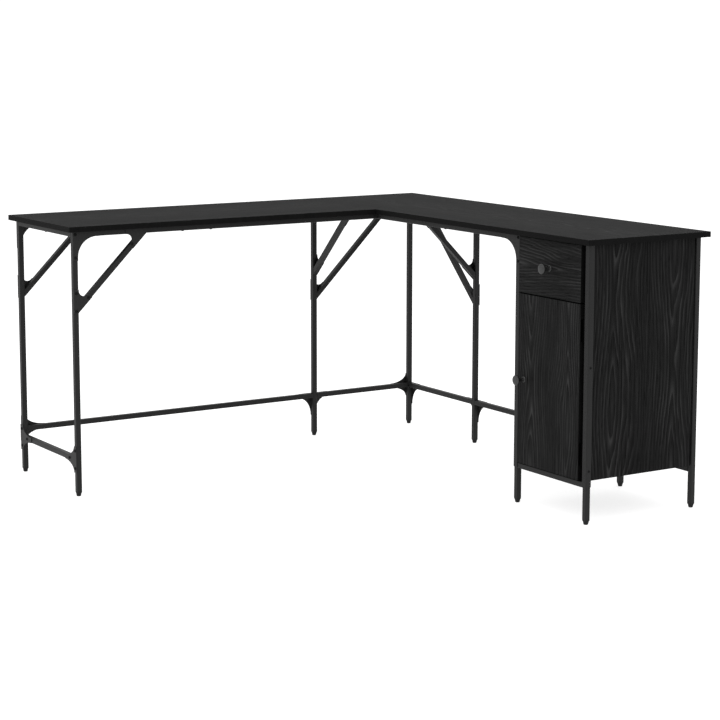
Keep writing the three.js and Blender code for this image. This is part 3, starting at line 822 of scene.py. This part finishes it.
def turned_metal(name, centre):
    """Turning lines are rings of noise by the distance from the knob's own axis."""
    finish, shader, where = new_finish(name)
    x, y, z = (where.node("SeparateXYZ", {}, {0: where}, axis) for axis in range(3))
    dy, dz = y - centre[0], z - centre[1]
    spread = dy * dy + dz * dz
    radius = spread.math("SQRT", spread)
    place = radius.node("CombineXYZ", {}, {0: x * 900.0, 1: radius * 900.0})
    lines = place.node("TexNoise", {}, {"Vector": place, "Scale": 1.0, "Detail": 2.0}, "Fac")
    cloud = noise(where, 150.0, 2.0)
    where.feed(shader, {
        "Base Color": tint(lines * 0.5 + cloud * 0.5, grey(0.025), grey(0.058)),
        "Metallic": 0.75,
        "Roughness": 0.34 + lines * 0.16,
        "Normal": bump(lines, 0.00004, 0.5),
    })
    return finish


def knob_skin(face_x, centre, head, projection):
    """A profile of (radius, distance from the board) pairs, turned about the X axis. The
    neck is a waist, and the head's rim and crown are quarter turns."""
    share = np.linspace(0, 1, 9)
    neck_radius = NECK_RADIUS - NECK_WAIST * np.sin(np.pi * share)
    neck = np.stack([neck_radius, NECK_START + NECK_LENGTH * share], -1)
    rim_top = projection - KNOB_CROWN
    under = np.linspace(-np.pi / 2, 0, 5)
    over = np.linspace(0, np.pi / 2, 8)
    rim_centre = np.array([head - KNOB_RIM, rim_top - KNOB_RIM])
    under_rim = rim_centre + KNOB_RIM * np.stack([np.cos(under), np.sin(under)], -1)
    over_rim = rim_centre + [0, KNOB_RIM] + KNOB_RIM * np.stack([np.cos(over), np.sin(over)], -1)
    profile = np.vstack([
        [[0.0080, 0.0], [0.0081, 0.0008], [0.0077, 0.0015], [0.0064, 0.0022]],
        neck,
        [[0.0075, 0.0195], [0.0100, 0.0216]],
        under_rim,
        over_rim,
        [[head * 0.6, projection - 0.0003], [head * 0.25, projection], [0.0004, projection]],
    ])
    angle = np.linspace(0, 2 * np.pi, 56, endpoint=False)
    out_x = np.broadcast_to(face_x - profile[:, 1:2], (len(profile), len(angle)))
    out_y = centre[0] + profile[:, 0:1] * np.cos(angle)
    out_z = centre[1] + profile[:, 0:1] * np.sin(angle)
    return skin(np.stack([out_x, out_y, out_z], -1))


for body in ("drawer", "door"):
    low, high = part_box(body + "_knob")
    centre = ((low.y + high.y) / 2, (low.z + high.z) / 2)
    finish = turned_metal(f"satin_{body}_knob_plating", centre)
    turned = knob_skin(high.x + KNOB_FIT, centre, (high.y - low.y) / 2, high.x - low.x)
    made = piece(f"turned_{body}_knob", [turned], finish, body, 35)
    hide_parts(body + "_knob")


# ---- door -----------------------------------------------------------------------------------
# One laminated board with upright grain, hung on two steel butt hinges in the gap beside the
# outer post, and held shut by a magnetic catch at its other edge.
door_oak = black_oak(
    "black_oak_door", along=2, across=1, heart=-0.622, leaf=0.155,
    dark=PANEL_SHADED_DARK, light=grey(0.028), rings=105.0, swing=1.2, period=0.52, shift=(0.2, 0.4, 0.7),
)
skins = [board(*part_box("door"), thin=0)]
made = piece("door_board", skins, door_oak, "door", edging=edge_band)
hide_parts("door")

BARRELS = 5
BARREL_GAP = 0.0003
BARREL_RADIUS = 0.0031
BARREL_CHAMFER_SHARE = 0.12
LEAF = 0.0012
WEB_ARRIS = 0.0002
LEAF_ARRIS = 0.0003
LEAF_FROM_FACES = (0.0015, 0.0010)
PIN_SHARE = 0.55
PIN_PAST = 0.0012
door_low, door_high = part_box("door")
# The hinges and the catch's strike are coloured nearly black, darker than any other part: black
# paint, darkened further as painted shade so that they read as the shadow in the gaps round the door.
black_paint_and_gap_shade = moulded_plastic("black_painted_hinge", grey(0.0004), grey(0.0012), gloss=0.01)


def barrel(axis_x, axis_y, low, high, radius):
    """A round bar on the hinge's axis, its ends drawn in by a small chamfer."""
    angle = np.linspace(0, 2 * np.pi, 28, endpoint=False)
    edge = radius * BARREL_CHAMFER_SHARE
    drawn_in = radius - edge
    steps = np.array([[low, drawn_in], [low + edge, radius], [high - edge, radius], [high, drawn_in]])
    rings = np.zeros((len(steps), len(angle), 3))
    rings[..., 0] = axis_x + steps[:, 1:2] * np.cos(angle)
    rings[..., 1] = axis_y + steps[:, 1:2] * np.sin(angle)
    rings[..., 2] = steps[:, 0:1]
    return skin(rings)


joint = next(joint for joint in frame["joints"] if joint["name"] == "door_hinge")
axis_x, axis_y = joint["pos_m"][:2]
post_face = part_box("leg_cabinet_front_outer")[1].y


def knuckle(spans, start, end):
    """Barrels over the spans of height, each joined to its leaf by a web from start to end."""
    barrels = [barrel(axis_x, axis_y, a, b, BARREL_RADIUS) for a, b in spans]
    webs = [board((axis_x, start, a), (axis_x + LEAF, end, b), 0, WEB_ARRIS) for a, b in spans]
    return barrels + webs


for level in ("lower", "upper"):
    low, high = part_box("door_hinge_" + level)
    ends = np.linspace(low.z, high.z, BARRELS + 1)
    spans = [(start + BARREL_GAP / 2, end - BARREL_GAP / 2) for start, end in zip(ends, ends[1:])]
    fixed = knuckle(spans[0::2], post_face, axis_y)
    leaf = board(
        (axis_x, post_face, low.z),
        (high.x, post_face + LEAF, high.z),
        1, LEAF_ARRIS,
    )
    pin = barrel(axis_x, axis_y, low.z - PIN_PAST, high.z + PIN_PAST, BARREL_RADIUS * PIN_SHARE)
    skins = [*fixed, leaf, pin]
    made = piece("hinge_fixed_leaf_" + level, skins, black_paint_and_gap_shade, "root", 40)
    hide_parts("door_hinge_" + level)
    moving = knuckle(spans[1::2], axis_y, door_low.y)
    door_leaf = board(
        (door_low.x + LEAF_FROM_FACES[0], door_low.y - LEAF, low.z),
        (door_high.x - LEAF_FROM_FACES[1], door_low.y, high.z),
        1, LEAF_ARRIS,
    )
    skins = [*moving, door_leaf]
    piece("hinge_door_leaf_" + level, skins, black_paint_and_gap_shade, "door", 40)

CATCH_SIZE = (0.026, 0.013, 0.046)
CATCH_ARRIS = 0.0010
CATCH_BELOW_DOOR_TOP = 0.070
CATCH_BEHIND_PANEL_FRONT = 0.001
MAGNET_SIZE = (0.006, 0.007, 0.034)
MAGNET_PLACE = (-0.003, 0.003, 0.006)
MAGNET_ARRIS = 0.0003
STRIKE_SIZE = (0.0008, 0.012, 0.040)
STRIKE_PLACE = (-0.002, 0.003)
STRIKE_ARRIS = 0.0002
catch_plastic = moulded_plastic("black_catch_plastic", grey(0.012), grey(0.022))
panel_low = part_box("cabinet_end_inner")[0]
catch_y = panel_low.y - CATCH_SIZE[1]
catch_z = door_high.z - CATCH_BELOW_DOOR_TOP
catch_low = np.array([panel_low.x + CATCH_BEHIND_PANEL_FRONT, catch_y, catch_z])
case = board(catch_low, catch_low + CATCH_SIZE, 1, CATCH_ARRIS)
magnet_low = catch_low + MAGNET_PLACE
magnet = board(magnet_low, magnet_low + MAGNET_SIZE, 0, MAGNET_ARRIS)
piece("magnetic_catch", [case, magnet], catch_plastic, "root")
strike_low = np.array([door_high.x, catch_y + STRIKE_PLACE[0], catch_z + STRIKE_PLACE[1]])
strike = board(strike_low, strike_low + STRIKE_SIZE, 0, STRIKE_ARRIS)
piece("catch_strike", [strike], black_paint_and_gap_shade, "door")
